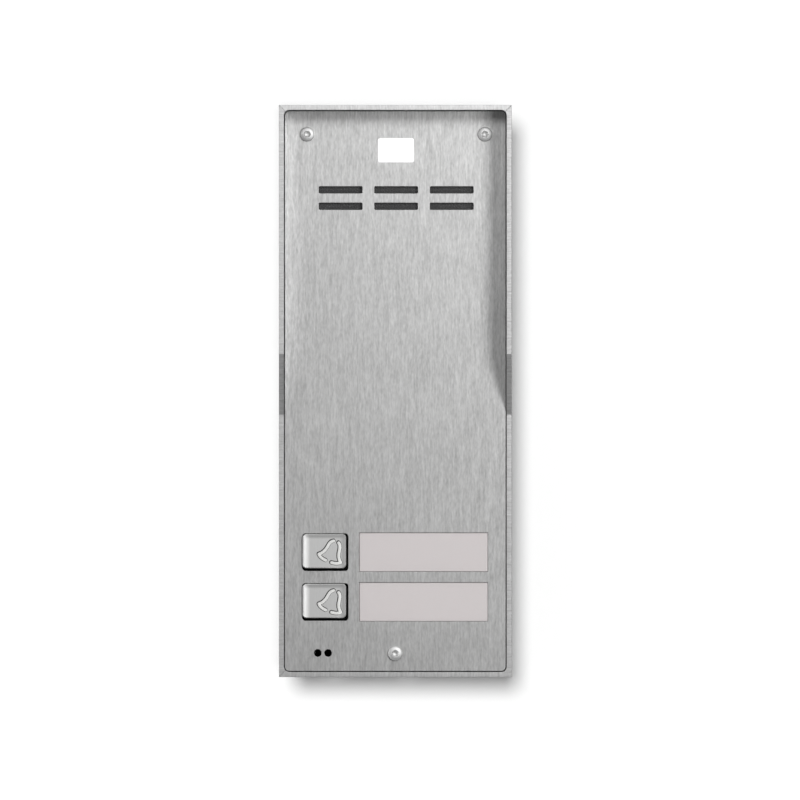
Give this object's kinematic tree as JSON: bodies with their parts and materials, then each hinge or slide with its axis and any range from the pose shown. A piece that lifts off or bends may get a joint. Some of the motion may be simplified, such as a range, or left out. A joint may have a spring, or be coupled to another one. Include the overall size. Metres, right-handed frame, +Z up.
{
  "type": "door intercom panel",
  "caption": "Surface-mounted door intercom panel of brushed steel, with a rain hood, a slotted speaker grille, illuminated call buttons and name windows.",
  "frame": {"origin": "middle of the housing's back, on the wall face", "axes": "+Z up, the front looks towards -Y, +Y into the wall, +X to the right when seen from the front"},
  "size_m": [0.0936, 0.048, 0.23],
  "materials": {
    "housing_steel": "brushed across the rim, satin sides",
    "faceplate_steel": "brushed vertically",
    "button_steel": "fine satin",
    "screw_steel": "bright stainless",
    "zinc_steel": "bright zinc plate",
    "gasket_rubber": "matt foam rubber",
    "black_rubber": "matt",
    "grille_fabric": "fine woven cloth",
    "basket_steel": "matt black",
    "ferrite": "ground, dull",
    "copper_coil": "enamelled wire",
    "paper_cone": "pressed fibre",
    "tag_board": "phenolic paper",
    "red_wire": "satin",
    "blue_wire": "satin",
    "capsule_metal": "satin",
    "black_plastic": "fine texture",
    "white_plastic": "satin",
    "frosted_lens": "frosted behind a smooth face",
    "name_paper": "uncoated",
    "circuit_board": "solder mask",
    "led_resin": "clear",
    "switch_plastic": "satin",
    "brass_spacer": "turned",
    "green_terminal": "satin",
    "terminal_steel": "bright zinc plate",
    "capacitor_sleeve": "shrink sleeve",
    "transformer_tape": "amber tape",
    "chip_resin": "matt moulding",
    "trimmer_blue": "satin",
    "socket_nylon": "satin",
    "ribbon_grey": "satin",
    "opal_acrylic": "opal",
    "spring_wire": "drawn wire"
  },
  "bodies": {
    "panel": {"back_plate": "housing_steel", "left_side": "housing_steel", "right_side": "housing_steel", "hood_top": "housing_steel", "bottom_wall": "housing_steel", "seal_ledge": "housing_steel", "face_gasket": "gasket_rubber", "faceplate": "faceplate_steel", "panel_posts": "zinc_steel", "panel_screws": "screw_steel", "faceplate_studs": "zinc_steel", "grille_cloth": "grille_fabric", "speaker_seal": "gasket_rubber", "speaker_basket": "basket_steel", "speaker_magnet": "ferrite", "speaker_yoke": "zinc_steel", "speaker_voice_coil": "copper_coil", "speaker_cone": "paper_cone", "speaker_dust_cap": "paper_cone", "speaker_terminal": "tag_board", "speaker_clamps": "zinc_steel", "speaker_clamp_nuts": "zinc_steel", "speaker_leads": "red_wire", "microphone_boot": "black_rubber", "microphone_capsule": "capsule_metal", "microphone_leads": "blue_wire", "button_guide": "black_plastic", "window_lens_upper": "frosted_lens", "window_lens_lower": "frosted_lens", "name_card_upper": "name_paper", "name_card_lower": "name_paper", "light_box": "white_plastic", "switch_board": "circuit_board", "backlight_leds": "led_resin", "key_switch_bodies": "switch_plastic", "board_spacers": "brass_spacer", "board_nuts": "zinc_steel", "main_board": "circuit_board", "terminal_block": "green_terminal", "terminal_screws": "terminal_steel", "capacitors": "capacitor_sleeve", "line_transformer": "transformer_tape", "board_chips": "chip_resin", "trimmer_bodies": "trimmer_blue", "board_sockets": "socket_nylon", "link_ribbon": "ribbon_grey", "cable_grommet": "black_rubber", "button_spring_upper": "spring_wire", "button_spring_lower": "spring_wire"},
    "upper_call_button": {"call_button_upper": "button_steel", "bell_insert_upper": "opal_acrylic"},
    "lower_call_button": {"call_button_lower": "button_steel", "bell_insert_lower": "opal_acrylic"},
    "upper_key_plunger": {"key_plunger_upper": "white_plastic"},
    "lower_key_plunger": {"key_plunger_lower": "white_plastic"},
    "volume_rotor": {"volume_trimmer": "white_plastic"},
    "microphone_rotor": {"microphone_trimmer": "white_plastic"}
  },
  "joints": [
    {"name": "upper_button_press", "type": "slide", "parent": "panel", "child": "upper_call_button", "axis": [0, 1, 0], "range_m": [0, 0.0012], "stiffness_N_per_m": 600, "springref_m": -0.002, "deforming": ["button_spring_upper"]},
    {"name": "lower_button_press", "type": "slide", "parent": "panel", "child": "lower_call_button", "axis": [0, 1, 0], "range_m": [0, 0.0012], "stiffness_N_per_m": 600, "springref_m": -0.002, "deforming": ["button_spring_lower"]},
    {"name": "upper_plunger_press", "type": "slide", "parent": "panel", "child": "upper_key_plunger", "axis": [0, 1, 0], "range_m": [0, 0.0012]},
    {"name": "lower_plunger_press", "type": "slide", "parent": "panel", "child": "lower_key_plunger", "axis": [0, 1, 0], "range_m": [0, 0.0012]},
    {"name": "volume_turn", "type": "hinge", "parent": "panel", "child": "volume_rotor", "pos_m": [-0.028, -0.0128, 0.022], "axis": [0, 1, 0], "range_deg": [-135, 135]},
    {"name": "microphone_turn", "type": "hinge", "parent": "panel", "child": "microphone_rotor", "pos_m": [-0.028, -0.0128, 0.008], "axis": [0, 1, 0], "range_deg": [-135, 135]}
  ],
  "couplings": [
    {"joint": "upper_plunger_press", "follows": "upper_button_press", "ratio": 1},
    {"joint": "lower_plunger_press", "follows": "lower_button_press", "ratio": 1}
  ]
}
